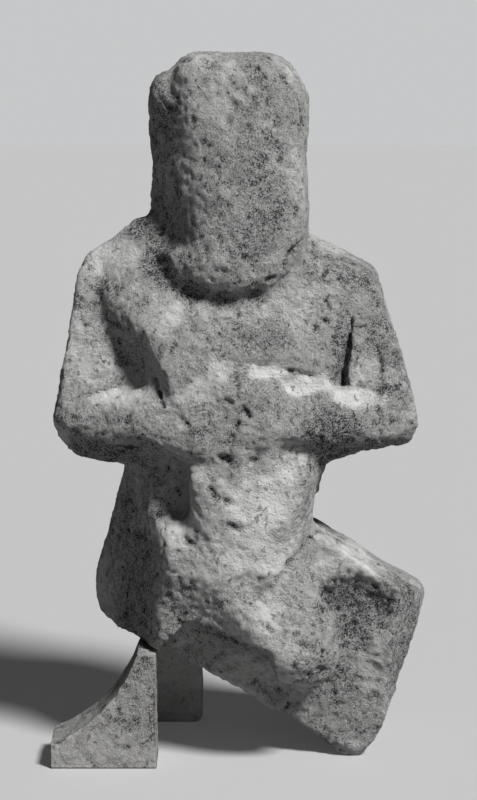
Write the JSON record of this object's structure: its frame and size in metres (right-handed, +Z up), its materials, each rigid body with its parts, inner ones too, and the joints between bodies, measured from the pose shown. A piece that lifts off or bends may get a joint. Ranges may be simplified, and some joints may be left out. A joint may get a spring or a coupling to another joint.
{
  "type": "seated stone votive figure",
  "caption": "Worn seated stone figure with a long squared beard and hands clasped over the belly, broken away at the lower left and held level by two rough stone props.",
  "frame": {"origin": "middle of the bounding box on the ground, under the figure", "axes": "+Z up, the figure faces -Y, +X is to the right as seen from the front"},
  "size_m": [0.2837, 0.1696, 0.5271],
  "materials": {
    "limestone": "worn and pitted, dry",
    "front_prop_stone": "rough sawn, speckled",
    "rear_prop_stone": "rough, dusty"
  },
  "bodies": {
    "root": {"limestone_figure": "limestone", "front_prop_wedge": "front_prop_stone", "rear_prop_block": "rear_prop_stone"}
  },
  "joints": []
}
